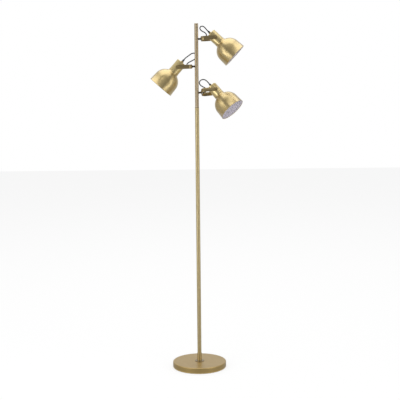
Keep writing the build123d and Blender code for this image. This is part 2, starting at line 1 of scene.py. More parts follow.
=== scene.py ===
# %% [markdown]
# # A tree floor lamp, dressed for its portrait
#
# The lamp's shape already exists as an exact model: a round weighted base, a pole of two tubes and
# three dome heads that swivel and tilt. This notebook loads that model as a fixed frame and gives it
# its looks. Every length here is in metres, and every piece sits where the model says, so nothing
# has to be fitted by eye.

# %% The frame
import bpy
import bmesh
import math
from mathutils import Matrix, Vector


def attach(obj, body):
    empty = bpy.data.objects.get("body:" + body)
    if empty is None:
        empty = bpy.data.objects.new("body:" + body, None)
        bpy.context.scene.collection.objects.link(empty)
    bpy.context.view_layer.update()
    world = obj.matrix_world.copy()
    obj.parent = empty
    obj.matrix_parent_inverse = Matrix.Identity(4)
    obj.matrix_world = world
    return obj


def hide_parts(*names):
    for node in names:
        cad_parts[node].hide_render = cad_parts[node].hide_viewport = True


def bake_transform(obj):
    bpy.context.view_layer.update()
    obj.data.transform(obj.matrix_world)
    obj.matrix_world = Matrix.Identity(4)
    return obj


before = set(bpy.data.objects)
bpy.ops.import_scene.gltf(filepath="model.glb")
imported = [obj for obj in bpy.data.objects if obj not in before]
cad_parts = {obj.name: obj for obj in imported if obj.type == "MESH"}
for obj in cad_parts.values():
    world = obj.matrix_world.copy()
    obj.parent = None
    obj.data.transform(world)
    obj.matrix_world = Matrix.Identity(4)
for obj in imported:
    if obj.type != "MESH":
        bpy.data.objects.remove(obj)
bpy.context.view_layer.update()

bpy.context.scene.view_settings.view_transform = "Standard"

# %% [markdown]
# ## The camera
#
# The lamp is tall and thin, so a long lens from about four metres keeps the pole straight and the
# base only a little foreshortened. The camera stands a little below the top heads and looks
# slightly down. The portrait leans by half a degree, so the camera is rolled by as much.

# %% Camera
CAMERA_DISTANCE = 4.2
CAMERA_HEIGHT = 1.2864
CAMERA_PITCH = math.radians(-7.364)
CAMERA_YAW = math.radians(0.121)
CAMERA_ROLL = math.radians(-0.570)
CAMERA_LENS = 87.74


def aim_camera():
    """One camera in front of the lamp, turned by a yaw, a pitch and a small roll."""
    ahead = Vector((math.sin(CAMERA_YAW) * math.cos(CAMERA_PITCH),
                    math.cos(CAMERA_YAW) * math.cos(CAMERA_PITCH),
                    math.sin(CAMERA_PITCH)))
    right = Vector((math.cos(CAMERA_YAW), -math.sin(CAMERA_YAW), 0.0))
    up = right.cross(ahead)
    right_rolled = math.cos(CAMERA_ROLL) * right + math.sin(CAMERA_ROLL) * up
    up_rolled = math.cos(CAMERA_ROLL) * up - math.sin(CAMERA_ROLL) * right
    turned = Matrix((right_rolled, up_rolled, -ahead)).transposed()
    data = bpy.data.cameras.new("portrait_camera")
    data.lens = CAMERA_LENS
    data.sensor_width = 36.0
    data.sensor_fit = "HORIZONTAL"
    camera = bpy.data.objects.new("portrait_camera", data)
    camera.matrix_world = Matrix.Translation((0, -CAMERA_DISTANCE, CAMERA_HEIGHT)) @ turned.to_4x4()
    bpy.context.scene.collection.objects.link(camera)
    bpy.context.scene.camera = camera
    return camera


camera = aim_camera()
print("camera at", [round(x, 3) for x in camera.location], "lens", CAMERA_LENS, "mm")

# %% [markdown]
# ## Small helpers
#
# A material in Blender is a graph of nodes. Building such a graph by hand in code is wordy, so this
# little class adds a node in one line and wires what it is given into the node's inputs.

# %% Node helpers


class Graph:
    """Adds nodes to a material's or world's tree and wires them in the same line."""

    def __init__(self, tree):
        self.tree = tree
        tree.nodes.clear()

    def add(self, kind, inputs=None, **settings):
        node = self.tree.nodes.new(kind)
        for key, value in settings.items():
            setattr(node, key, value)
        for key, value in (inputs or {}).items():
            socket = node.inputs[key]
            if isinstance(value, bpy.types.NodeSocket):
                self.tree.links.new(value, socket)
            else:
                socket.default_value = value
        return node

    def calc(self, operation, *values):
        """The result of one sum; a value is a number or a socket."""
        return self.add("ShaderNodeMath", dict(enumerate(values)), operation=operation).outputs[0]

    def ramp(self, factor, stops):
        """A colour ramp from (place, colour) stops; a plain number is a grey."""
        node = self.add("ShaderNodeValToRGB", {0: factor})
        elements = node.color_ramp.elements
        while len(elements) < len(stops):
            elements.new(0.5)
        for element, (place, colour) in zip(elements, stops):
            element.position = place
            element.color = (colour, colour, colour, 1) if isinstance(colour, float) else (*colour, 1)
        return node.outputs["Color"]


def new_material(name):
    material = bpy.data.materials.new(name)
    material.use_nodes = True
    return material, Graph(material.node_tree)


def dress(name, material):
    """Gives a carried-over node of the model its finished material."""
    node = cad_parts[name]
    node.data.materials.clear()
    node.data.materials.append(material)


print("helpers ready")

# %% [markdown]
# ## Stage and light
#
# Brushed metal shows its surroundings more than its own colour, so the studio is part of the lamp's
# look. The world is white where the camera looks, and dimmer for the soft light that it throws.
# Reflections must not see that white, or the brass would turn to cream all over. So a room of grey
# cards that only reflections can see stands round the lamp: darkest in front, where the photographer
# stands, and lighter at the back and overhead. Two upright softboxes in front of the lamp, one on
# each side, are what the domes mirror as long cream stripes, with the brown of the dark front
# between them. A large softbox on the ceiling lights the tops.

# %% Stage
WORLD_LIGHT = 0.75
FLOOR_COLOUR = (0.93, 0.93, 0.93, 1)
FLOOR_GLOW = 0.75
SIDE = 9.0


def seen_directly(graph):
    """1 where the camera or a reflection looks, 0 for the light that a surface throws."""
    path = graph.add("ShaderNodeLightPath").outputs
    seen = graph.calc("MAXIMUM", path["Is Camera Ray"], path["Is Glossy Ray"])
    return graph.calc("MAXIMUM", seen, path["Is Transmission Ray"])


def white_world():
    world = bpy.data.worlds.new("studio")
    world.use_nodes = True
    graph = Graph(world.node_tree)
    dim = graph.add("ShaderNodeBackground", {"Color": (1, 1, 1, 1), "Strength": WORLD_LIGHT})
    white = graph.add("ShaderNodeBackground", {"Color": (1, 1, 1, 1), "Strength": 1.0})
    mixed = graph.add("ShaderNodeMixShader",
                      {0: seen_directly(graph), 1: dim.outputs[0], 2: white.outputs[0]})
    graph.add("ShaderNodeOutputWorld", {"Surface": mixed.outputs[0]})
    bpy.context.scene.world = world


def floor_material():
    """Mostly white to the eye and in reflections, with enough plain surface to keep a soft shadow."""
    material, graph = new_material("studio_floor")
    share = graph.calc("MULTIPLY", seen_directly(graph), FLOOR_GLOW)
    matt = graph.add("ShaderNodeBsdfDiffuse", {"Color": FLOOR_COLOUR})
    white = graph.add("ShaderNodeEmission", {"Color": (1, 1, 1, 1), "Strength": 1.0})
    mixed = graph.add("ShaderNodeMixShader", {0: share, 1: matt.outputs[0], 2: white.outputs[0]})
    graph.add("ShaderNodeOutputMaterial", {"Surface": mixed.outputs[0]})
    return material


def card(name, corners, material):
    """A flat four-cornered sheet that belongs to the studio, not to the lamp."""
    mesh = bpy.data.meshes.new(name)
    mesh.from_pydata(corners, [], [(0, 1, 2, 3)])
    mesh.materials.append(material)
    sheet = bpy.data.objects.new(name, mesh)
    bpy.context.scene.collection.objects.link(sheet)
    return sheet


def grey_card(name, level, corners):
    """A card of an even grey that only reflections can see; it throws no light and no shadow."""
    material, graph = new_material(name)
    grey = graph.add("ShaderNodeEmission", {"Color": (1, 1, 1, 1), "Strength": level})
    graph.add("ShaderNodeOutputMaterial", {"Surface": grey.outputs[0]})
    sheet = card(name, corners, material)
    sheet.visible_camera = False
    sheet.visible_diffuse = False
    sheet.visible_shadow = False
    sheet.visible_transmission = False
    return sheet


white_world()
card("studio_floor", [(-SIDE, -SIDE, 0), (SIDE, -SIDE, 0), (SIDE, SIDE, 0), (-SIDE, SIDE, 0)],
     floor_material())

ROOM = 5.0
WALL_FOOT = 0.01
WALL_TOP = 4.3
FLOOR_CARD = 0.004
CEILING_SPLIT = -1.2


def grey_wall(name, level, start, end):
    """An upright card between two corners of the room's plan."""
    (x0, y0), (x1, y1) = start, end
    return grey_card(name, level, [(x0, y0, WALL_FOOT), (x1, y1, WALL_FOOT), (x1, y1, WALL_TOP),
                                   (x0, y0, WALL_TOP)])


def grey_level(name, level, height, front, back):
    """A level card over the room's whole width, from a front to a back line."""
    return grey_card(name, level, [(-ROOM, front, height), (ROOM, front, height), (ROOM, back, height),
                                   (-ROOM, back, height)])


grey_wall("front_wall", 0.27, (-ROOM, -ROOM), (ROOM, -ROOM))
grey_wall("left_wall", 0.50, (-ROOM, -ROOM), (-ROOM, ROOM))
grey_wall("right_wall", 0.50, (ROOM, -ROOM), (ROOM, ROOM))
grey_wall("back_wall", 0.66, (-ROOM, ROOM), (ROOM, ROOM))
grey_level("grey_floor", 0.46, FLOOR_CARD, -ROOM, ROOM)
grey_level("front_ceiling", 0.36, WALL_TOP, -ROOM, CEILING_SPLIT)
grey_level("back_ceiling", 0.60, WALL_TOP, CEILING_SPLIT, ROOM)


def softbox(name, place, target, size, power):
    """A rectangular area light that faces a target point."""
    data = bpy.data.lights.new(name, "AREA")
    data.shape = "RECTANGLE"
    data.size, data.size_y = size
    data.energy = power
    lamp = bpy.data.objects.new(name, data)
    toward = Vector(target) - Vector(place)
    turned_to = toward.to_track_quat("-Z", "Y").to_matrix().to_4x4()
    lamp.matrix_world = Matrix.Translation(place) @ turned_to
    lamp.visible_camera = False
    bpy.context.scene.collection.objects.link(lamp)
    return lamp


softbox("ceiling_softbox", (0, 1.0, 4.0), (0, 0.99, 0), (4.0, 4.5), 60)
softbox("left_softbox", (-1.38, -1.38, 0.95), (0, 0, 1.2), (0.6, 1.9), 8.5)
softbox("right_softbox", (1.62, -1.36, 0.95), (0, 0, 1.2), (0.6, 1.9), 6.0)
print("stage: floor, seven cards and three softboxes")

# %% [markdown]
# ## The leads
#
# Each head has a short black lead that leaves the stub, makes one free loop and enters the cord
# grip at the back of the lamp cup. A lead is one smooth line with a round section. A NURBS curve
# through a few control points gives that line, and the tube round it is made as a mesh.

# %% Lead routes
MM = 0.001
LEAD_DIAMETER = 0.0046
BUSH_END = 0.02855
PIVOT_REACH = 0.081
RELIEF_END = 0.042

# For each head: the height of its stub, then in degrees the arm's direction, the stub's lean, the
# swivel and the droop of the shade; the lead's length; where the lead turns with the head (see
# below); and the lead's route in the arm's own frame in millimetres: X out along the arm, Y to the
# back on a right-hand arm, Z up.
HEADS = {
    "upper_right": dict(height=1.4335, azimuth=0.0, lean=3.3, swivel=-5.5, droop=46.2,
        lead_length=0.1144, lead_turn=(20.0, 33.0, 60.0), route=[
        (34.0, 0.0, 0.0), (39.3, 0.0, 2.4), (42.6, 0.2, 8.0), (44.6, 0.4, 14.8),
        (42.0, 0.6, 21.6), (35.4, 0.9, 27.4), (27.2, 1.2, 31.8), (20.2, 1.2, 37.8),
        (17.4, 0.8, 45.8), (22.0, 0.3, 52.6), (31.2, 0.0, 53.4), (39.4, 0.0, 47.2),
        (45.0, 0.0, 37.9)]),
    "upper_left": dict(height=1.319, azimuth=180.0, lean=-2.0, swivel=0.5, droop=46.7,
        lead_length=0.1507, lead_turn=(20.0, 34.2, 59.5), route=[
        (34.2, 0.0, 0.0), (39.4, 0.0, 2.4), (41.8, -0.3, 8.2), (38.8, -1.0, 14.0),
        (31.4, -3.0, 18.8), (21.6, -6.6, 23.2), (11.6, -10.6, 27.8), (2.6, -13.4, 33.4),
        (-2.6, -14.2, 41.4), (-2.2, -14.4, 49.6), (3.6, -13.8, 55.6), (12.8, -11.6, 57.2),
        (22.4, -8.2, 53.2), (31.2, -4.4, 47.0), (38.6, -1.2, 42.2), (45.0, 0.0, 38.2)]),
    "lower_right": dict(height=1.206, azimuth=0.0, lean=5.5, swivel=-24.0, droop=56.5,
        lead_length=0.1263, lead_turn=(20.0, 32.9, 66.3), route=[
        (34.0, 0.0, 0.0), (39.5, 0.0, 2.6), (42.2, 0.2, 8.4), (41.2, 0.4, 15.0),
        (35.8, 0.7, 20.8), (28.2, 1.0, 26.0), (20.8, 1.2, 31.8), (15.6, 1.1, 39.4),
        (14.8, 0.7, 48.4), (20.4, 0.3, 56.2), (30.2, 0.1, 59.8), (40.6, 0.0, 57.2),
        (47.8, 0.0, 50.0), (52.2, 0.0, 43.6)]),
}


def stub_frame(name):
    """The frame of one stub: its origin on the pole's axis, X out along the stub."""
    head = HEADS[name]
    return (Matrix.Translation((0, 0, head["height"]))
            @ Matrix.Rotation(math.radians(head["azimuth"]), 4, "Z")
            @ Matrix.Rotation(math.radians(-head["lean"]), 4, "Y"))


def arm_frame(name):
    """The frame of one arm: its stub's frame, turned by the swivel."""
    return stub_frame(name) @ Matrix.Rotation(math.radians(HEADS[name]["swivel"]), 4, "X")


def head_frame(name):
    """The frame of one head: its origin on the tilt axis, the shade's mouth towards -Z."""
    droop = HEADS[name]["droop"]
    return (arm_frame(name) @ Matrix.Translation((PIVOT_REACH, 0, 0))
            @ Matrix.Rotation(math.radians(droop - 90), 4, "Y"))


def lead_route(name):
    """The lead's control points in the lamp's own frame, in metres."""
    droop = math.radians(HEADS[name]["droop"])
    end = (PIVOT_REACH - RELIEF_END * math.cos(droop), 0, RELIEF_END * math.sin(droop))
    points = [(BUSH_END, 0, 0)] + [tuple(MM * c for c in p) for p in HEADS[name]["route"]] + [end]
    return [arm_frame(name) @ Vector(p) for p in points]


for name in HEADS:
    print(name, "tilts about", [round(c, 4) for c in head_frame(name).to_translation()])

# %% Lead line and tube


def smooth_line(points):
    """Points close together along the NURBS curve of these control points."""
    data = bpy.data.curves.new("lead_line", "CURVE")
    data.dimensions = "3D"
    data.resolution_u = 8
    spline = data.splines.new("NURBS")
    spline.points.add(len(points) - 1)
    for control, point in zip(spline.points, points):
        control.co = (*point, 1)
    spline.order_u = 3
    spline.use_endpoint_u = True
    curve = bpy.data.objects.new("lead_line", data)
    bpy.context.scene.collection.objects.link(curve)
    bpy.context.view_layer.update()
    mesh = bpy.data.meshes.new_from_object(curve.evaluated_get(bpy.context.evaluated_depsgraph_get()))
    line = [vertex.co.copy() for vertex in mesh.vertices]
    bpy.data.objects.remove(curve)
    bpy.data.meshes.remove(mesh)
    return line


def round_tube(name, line, radius, sides=14):
    """A closed tube of even section along a line, with a UV map that runs along it."""
    rings = []
    ahead = (line[1] - line[0]).normalized()
    side = ahead.orthogonal().normalized()
    run = 0.0
    for i, centre in enumerate(line):
        before = line[max(i - 1, 0)]
        after = line[min(i + 1, len(line) - 1)]
        ahead = (after - before).normalized()
        side = (side - ahead * side.dot(ahead)).normalized()
        other = ahead.cross(side)
        run += (centre - before).length
        ring = [centre + radius * (math.cos(2 * math.pi * k / sides) * side
                                   + math.sin(2 * math.pi * k / sides) * other) for k in range(sides)]
        rings.append((run, ring))
    mesh_data = bmesh.new()
    uv_layer = mesh_data.loops.layers.uv.new("along")
    made = [[mesh_data.verts.new(p) for p in ring] for run, ring in rings]
    for i in range(len(made) - 1):
        for k in range(sides):
            n = (k + 1) % sides
            face = mesh_data.faces.new((made[i][k], made[i][n], made[i + 1][n], made[i + 1][k]))
            face.smooth = True
            spots = ((k, i), (k + 1, i), (k + 1, i + 1), (k, i + 1))
            for loop, (around, along) in zip(face.loops, spots):
                loop[uv_layer].uv = (around / sides, rings[along][0])
    mesh_data.faces.new(reversed(made[0]))
    mesh_data.faces.new(made[-1])
    bmesh.ops.recalc_face_normals(mesh_data, faces=mesh_data.faces)
    mesh = bpy.data.meshes.new(name)
    mesh_data.to_mesh(mesh)
    mesh_data.free()
    piece = bpy.data.objects.new(name, mesh)
    bpy.context.scene.collection.objects.link(piece)
    return piece


# %% [markdown]
# The lead's sheath is soft black plastic. It is never quite even: a faint grain from the extruder,
# a slow change of gloss along its length and a little dust make it read as plastic and not as ink.
#
# When a head tilts, one end of its lead goes with it and the other stays with the arm. The turn
# between them is given along one direction in the arm's plane, so a head gives three numbers: that
# direction in degrees above the arm, and the two distances along it, in mm, at which the turn would
# begin and be complete. Here they only become two points; the tube itself is tied to neither body
# and does not bend.

# %% Leads


def lead_sheath():
    material, graph = new_material("lead_sheath")
    place = graph.add("ShaderNodeTexCoord").outputs["Object"]
    dust = graph.add("ShaderNodeTexNoise", {"Vector": place, "Scale": 160.0, "Detail": 4.0})
    grain = graph.add("ShaderNodeTexNoise", {"Vector": place, "Scale": 2400.0, "Detail": 2.0})
    colour = graph.ramp(dust.outputs[0], [(0.3, (0.018, 0.019, 0.022)), (0.75, (0.045, 0.046, 0.05))])
    gloss = graph.ramp(dust.outputs[0], [(0.3, 0.38), (0.7, 0.55)])
    bump = graph.add("ShaderNodeBump", {"Height": grain.outputs[0], "Strength": 0.15, "Distance": 0.0002})
    shader = graph.add("ShaderNodeBsdfPrincipled", {"Base Color": colour, "Roughness": gloss,
                                                    "Normal": bump.outputs[0]})
    graph.add("ShaderNodeOutputMaterial", {"Surface": shader.outputs[0]})
    return material


def turn_points(name):
    """Where the lead begins to follow its head and where it follows fully, as two points."""
    angle, begin, end = HEADS[name]["lead_turn"]
    way = Vector((math.cos(math.radians(angle)), 0, math.sin(math.radians(angle))))
    return [tuple(arm_frame(name) @ (way * distance * MM)) for distance in (begin, end)]


sheath = lead_sheath()
for name, head in HEADS.items():
    route = lead_route(name)
    line = smooth_line(route)
    tube = round_tube(name + "_lead_tube", line, LEAD_DIAMETER / 2)
    tube.data.materials.append(sheath)
    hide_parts(name + "_lead")
    begin, end = turn_points(name)
    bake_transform(tube)
    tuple(begin)
    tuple(end)
    tuple(route[0])
    [tuple(p) for p in line]
    print(name, "lead:", len(line), "points,",
          round(sum((b - a).length for a, b in zip(line, line[1:])) / MM, 1), "mm")

# %% [markdown]
# ## Turned pieces
#
# Most of this lamp was made on a lathe or by metal spinning: a flat disc is pressed over a turning
# form until it is a dome. Both give a shape with one outline that goes all the way round an axis. So
# the outline is written once, as a short list of corners with a bend radius each, and a Geometry
# Nodes tree turns it round. The tree lays a grid of points over the outline and the full turn, and
# moves each point to its radius, angle and height. A few more inputs press a screw thread or ribs
# into part of the wall, because both are only a small wave on the radius.

# %% Outlines


def rounded(corners, steps=6):
    """Points along straight runs whose corners are arcs; a corner is (radius, height, bend) in mm."""
    points = []
    for i, (r, z, bend) in enumerate(corners):
        here = Vector((r, z))
        if bend == 0 or i in (0, len(corners) - 1):
            points.append(here)
            continue
        back = (Vector(corners[i - 1][:2]) - here).normalized()
        on = (Vector(corners[i + 1][:2]) - here).normalized()
        half = back.angle(on) / 2
        reach = bend / math.tan(half)
        centre = here + (back + on).normalized() * bend / math.sin(half)
        first = here + back * reach - centre
        turn = first.angle_signed(here + on * reach - centre)
        for k in range(steps + 1):
            points.append(centre + Matrix.Rotation(-turn * k / steps, 2) @ first)
    return points


def shifted(points, gap):
    """The same line moved sideways, to the left of its direction for a positive gap."""
    moved = []
    for i, here in enumerate(points):
        along = points[min(i + 1, len(points) - 1)] - points[max(i - 1, 0)]
        moved.append(here + Vector((-along.y, along.x)).normalized() * gap)
    return moved


def divided(points, longest):
    """The same line with no stretch longer than the given length."""
    out = [points[0]]
    for before, after in zip(points, points[1:]):
        pieces = max(1, math.ceil((after - before).length / longest))
        out += [before.lerp(after, (k + 1) / pieces) for k in range(pieces)]
    return out


corner = rounded([(0, 0, 0), (5, 0, 2), (5, 5, 0)], steps=2)
print("a rounded corner:", [tuple(round(c, 2) for c in point) for point in corner])

# %% The lathe
LATHE_INPUTS = (
    ("Outline", "Geometry", None), ("Sides", "Int", 96),
    ("Thread Depth", "Float", 0.0), ("Thread Pitch", "Float", 0.001),
    ("Ribs", "Int", 0), ("Rib Depth", "Float", 0.0),
    ("Wave From", "Float", 0.0), ("Wave To", "Float", 0.0), ("Wave Fade", "Float", 0.001),
    ("Wave Beyond", "Float", 0.0), ("Inside From", "Int", 100000),
    ("Outside", "Material", None), ("Inside", "Material", None))


def wave(graph, given, spot, angle):
    """How far thread and ribs press the wall in: a part of the height, beyond a radius."""
    calc = graph.calc
    rise = graph.add("ShaderNodeMapRange", {
        "Value": spot["Z"], "From Min": given["Wave From"],
        "From Max": calc("ADD", given["Wave From"], given["Wave Fade"])})
    fall = graph.add("ShaderNodeMapRange", {
        "Value": spot["Z"], "From Min": calc("SUBTRACT", given["Wave To"], given["Wave Fade"]),
        "From Max": given["Wave To"], "To Min": 1.0, "To Max": 0.0})
    beyond = calc("GREATER_THAN", spot["X"], given["Wave Beyond"])
    window = calc("MULTIPLY", calc("MULTIPLY", rise.outputs[0], fall.outputs[0]), beyond)
    height = calc("MULTIPLY", calc("DIVIDE", spot["Z"], given["Thread Pitch"]), math.tau)
    helix = calc("SUBTRACT", calc("COSINE", calc("SUBTRACT", height, angle)), 1.0)
    flutes = calc("SUBTRACT", calc("COSINE", calc("MULTIPLY", angle, given["Ribs"])), 1.0)
    thread = calc("MULTIPLY", helix, calc("MULTIPLY", given["Thread Depth"], 0.5))
    rib = calc("MULTIPLY", flutes, calc("MULTIPLY", given["Rib Depth"], 0.5))
    return calc("MULTIPLY", window, calc("ADD", thread, rib))


def lathe_tree():
    """Turns a chain of points (radius, 0, height) round the Z axis into a closed skin."""
    tree = bpy.data.node_groups.new("lathe", "GeometryNodeTree")
    for name, kind, value in LATHE_INPUTS:
        socket = tree.interface.new_socket(name, in_out="INPUT", socket_type="NodeSocket" + kind)
        if value is not None:
            socket.default_value = value
    tree.interface.new_socket("Skin", in_out="OUTPUT", socket_type="NodeSocketGeometry")
    graph = Graph(tree)
    calc = graph.calc
    given = graph.add("NodeGroupInput").outputs

    # a grid with one ring of points for each point of the outline
    size = graph.add("GeometryNodeAttributeDomainSize", {"Geometry": given["Outline"]})
    columns = calc("ADD", given["Sides"], 1.0)
    grid = graph.add("GeometryNodeMeshGrid", {"Vertices X": size.outputs["Point Count"],
                                              "Vertices Y": columns})
    index = graph.add("GeometryNodeInputIndex").outputs[0]
    middle = calc("ADD", index, 0.5)
    ring = calc("FLOOR", calc("DIVIDE", middle, columns))
    column = calc("SUBTRACT", index, calc("MULTIPLY", ring, columns))
    angle = calc("MULTIPLY", calc("DIVIDE", column, given["Sides"]), math.tau)

    # each point takes its radius and height from the outline, and its place from its angle
    place = graph.add("GeometryNodeInputPosition").outputs[0]
    sample = graph.add("GeometryNodeSampleIndex", {"Geometry": given["Outline"], "Value": place,
                                                   "Index": ring}, data_type="FLOAT_VECTOR")
    spot = graph.add("ShaderNodeSeparateXYZ", {0: sample.outputs[0]}).outputs
    radius = calc("ADD", spot["X"], wave(graph, given, spot, angle))
    turned_place = graph.add("ShaderNodeCombineXYZ", {
        "X": calc("MULTIPLY", radius, calc("COSINE", angle)),
        "Y": calc("MULTIPLY", radius, calc("SINE", angle)), "Z": spot["Z"]})
    skin = graph.add("GeometryNodeSetPosition", {"Geometry": grid.outputs["Mesh"],
                                                 "Position": turned_place.outputs[0]})

    # a UV map, and a mark on the faces that lie inside
    skin = graph.add("GeometryNodeStoreNamedAttribute", {
        "Geometry": skin.outputs[0], "Name": "turn", "Value": grid.outputs["UV Map"]},
        data_type="FLOAT2", domain="CORNER")
    face_ring = calc("FLOOR", calc("DIVIDE", middle, given["Sides"]))
    within = graph.add("FunctionNodeCompare", {"A": face_ring, "B": given["Inside From"]},
                       operation="GREATER_EQUAL")
    skin = graph.add("GeometryNodeStoreNamedAttribute", {
        "Geometry": skin.outputs[0], "Name": "within", "Value": within.outputs[0]},
        data_type="BOOLEAN", domain="FACE")

    # the seam is closed and the two materials are given out
    skin = graph.add("GeometryNodeMergeByDistance", {"Geometry": skin.outputs[0], "Distance": 1e-6})
    skin = graph.add("GeometryNodeRealizeInstances", {"Geometry": skin.outputs[0]})
    skin = graph.add("GeometryNodeSetMaterial", {"Geometry": skin.outputs[0],
                                                 "Material": given["Outside"]})
    inner = graph.add("GeometryNodeInputNamedAttribute", {"Name": "within"}, data_type="BOOLEAN")
    skin = graph.add("GeometryNodeSetMaterial", {
        "Geometry": skin.outputs[0], "Selection": inner.outputs["Attribute"],
        "Material": given["Inside"]})
    graph.add("NodeGroupOutput", {"Skin": skin.outputs[0]})
    return tree


LATHE = lathe_tree()
print("lathe:", len(LATHE.nodes), "nodes,", len(LATHE_INPUTS), "inputs")


def evaluated_mesh(host, name):
    """The plain mesh that an object's modifiers make; the host object goes."""
    bpy.context.view_layer.update()
    mesh = bpy.data.meshes.new_from_object(host.evaluated_get(bpy.context.evaluated_depsgraph_get()))
    mesh.name = name
    old = host.data
    bpy.data.objects.remove(host)
    bpy.data.meshes.remove(old)
    return mesh


def outward(mesh, sharp=50.0):
    """Faces that point outwards, smooth apart from edges sharper than this many degrees."""
    data = bmesh.new()
    data.from_mesh(mesh)
    bmesh.ops.recalc_face_normals(data, faces=data.faces)
    for face in data.faces:
        face.smooth = True
    data.to_mesh(mesh)
    data.free()
    mesh.set_sharp_from_angle(angle=math.radians(sharp))


def turned(name, points, frame_of_piece, outside, body, slot, sides=96, inside=None, inside_from=None,
           **waves):
    """A turned piece in its place, from points in mm; waves are the lathe's other inputs."""
    line = list(points) + [points[0]]
    mesh = bpy.data.meshes.new(name + "_outline")
    edges = [(i, i + 1) for i in range(len(line) - 1)]
    mesh.from_pydata([(p.x * MM, 0, p.y * MM) for p in line], edges, [])
    host = bpy.data.objects.new(name + "_outline", mesh)
    bpy.context.scene.collection.objects.link(host)
    modifier = host.modifiers.new("lathe", "NODES")
    modifier.node_group = LATHE
    settings = {"Sides": sides, "Outside": outside, "Inside": inside or outside, **waves}
    if inside_from is not None:
        settings["Inside From"] = inside_from
    identifiers = {item.name: item.identifier for item in LATHE.interface.items_tree}
    for key, value in settings.items():
        modifier[identifiers[key]] = value
    skin = evaluated_mesh(host, name)
    skin.transform(frame_of_piece)
    outward(skin)
    piece = bpy.data.objects.new(name, skin)
    bpy.context.scene.collection.objects.link(piece)
    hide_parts(name)
    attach(piece, body)
    print(name, len(skin.polygons), "faces")
    return piece


# %% [markdown]
# ## Finishes
#
# The lamp is steel with a brushed, lacquered brass plating. Brushing leaves fine parallel scratches
# that smear a reflection sideways, so the metal looks silky. The scratches run round each turned
# piece, because the brush stood still while the piece turned. Each finish is a small graph: a
# squeezed noise makes the scratches, a wide soft noise makes the slow change of tone that a real
# plating has, and both move the colour, the roughness and a very small bump. The pattern is turned
# onto the axis of each piece by a Mapping node, because a tilted head has a tilted axis. The domes
# also smear their reflections along the outline, which the lathe's own UV map gives as a direction.

# %% Brass
SCRATCH_SCALE = 1400.0
CLOUD_SCALE = 24.0
LACQUER = {"Coat Weight": 0.6, "Coat Roughness": 0.3, "Coat IOR": 1.6}


def aligned(graph, frame_of_piece):
    """The object's coordinates, seen from a piece's own frame."""
    place = graph.add("ShaderNodeTexCoord").outputs["Object"]
    if frame_of_piece is None:
        return place
    return graph.add("ShaderNodeMapping", {
        "Vector": place, "Location": frame_of_piece.to_translation(),
        "Rotation": frame_of_piece.to_euler("XYZ")}, vector_type="TEXTURE").outputs[0]


def brass(name, light, dark, rough, frame_of_piece=None, squeeze=(0.02, 0.02, 1.0), smear=0.0):
    """Satin plated brass, scratched along the squeezed directions, with its reflections smeared."""
    material, graph = new_material(name)
    place = aligned(graph, frame_of_piece)
    squeezed = graph.add("ShaderNodeMapping", {"Vector": place, "Scale": squeeze})
    streaks = graph.add("ShaderNodeTexNoise", {"Vector": squeezed.outputs[0], "Scale": SCRATCH_SCALE,
                                               "Detail": 5.0, "Roughness": 0.6})
    clouds = graph.add("ShaderNodeTexNoise", {"Vector": place, "Scale": CLOUD_SCALE, "Detail": 3.0})
    tone = graph.add("ShaderNodeMix", {"Factor": 0.4, "A": streaks.outputs[0], "B": clouds.outputs[0]})
    colour = graph.ramp(tone.outputs[0], [(0.35, dark), (0.65, light)])
    gloss = graph.ramp(tone.outputs[0], [(0.35, rough + 0.02), (0.65, rough - 0.02)])
    bump = graph.add("ShaderNodeBump", {"Height": streaks.outputs[0], "Strength": 0.004,
                                        "Distance": 0.0001})
    shader = graph.add("ShaderNodeBsdfPrincipled", {
        "Base Color": colour, "Roughness": gloss, "Metallic": 1.0, "Normal": bump.outputs[0],
        "Anisotropic": smear, **LACQUER})
    if smear:
        along = graph.add("ShaderNodeTangent", direction_type="UV_MAP", uv_map="turn")
        graph.tree.links.new(along.outputs[0], shader.inputs["Tangent"])
    graph.add("ShaderNodeOutputMaterial", {"Surface": shader.outputs[0]})
    return material


def plain(name, light, dark, rough, scale=300.0, bump=0.1, depth=0.0001, metal=0.0):
    """A finish with grain in its colour, gloss and surface, and a few paler worn patches."""
    material, graph = new_material(name)
    place = graph.add("ShaderNodeTexCoord").outputs["Object"]
    grain = graph.add("ShaderNodeTexNoise", {"Vector": place, "Scale": scale, "Detail": 6.0})
    patches = graph.add("ShaderNodeTexNoise", {"Vector": place, "Scale": scale / 12, "Detail": 2.0})
    tone = graph.add("ShaderNodeMix", {"Factor": 0.45, "A": grain.outputs[0], "B": patches.outputs[0]})
    colour = graph.ramp(tone.outputs[0], [(0.35, dark), (0.68, light)])
    gloss = graph.ramp(tone.outputs[0], [(0.35, rough + 0.06), (0.65, rough - 0.05)])
    raised = graph.add("ShaderNodeBump", {"Height": grain.outputs[0], "Strength": bump, "Distance": depth})
    shader = graph.add("ShaderNodeBsdfPrincipled", {"Base Color": colour, "Roughness": gloss,
                                                    "Metallic": metal, "Normal": raised.outputs[0]})
    graph.add("ShaderNodeOutputMaterial", {"Surface": shader.outputs[0]})
    return material


# a light and a dark colour for each brass
UPPER_TONE = ((0.60, 0.49, 0.32), (0.53, 0.41, 0.25))
LOWER_TONE = ((0.68, 0.55, 0.29), (0.60, 0.475, 0.23))
BASE_TONE = ((0.56, 0.395, 0.145), (0.51, 0.355, 0.12))
DOME_TONE = ((0.73, 0.57, 0.27), (0.70, 0.54, 0.245))
# the cup's plating is the heads' brass painted lighter: a painted highlight
CUP_HIGHLIT_TONE = ((0.84, 0.68, 0.33), (0.80, 0.64, 0.30))
# the yokes' plating is the heads' brass painted darker: painted shade on their flat faces
YOKE_SHADED_TONE = ((0.44, 0.34, 0.16), (0.38, 0.28, 0.12))
# the flange is a real part; its darker brass also paints the shade round the pole's foot
FLANGE_SHADED_TONE = ((0.36, 0.27, 0.14), (0.30, 0.22, 0.11))

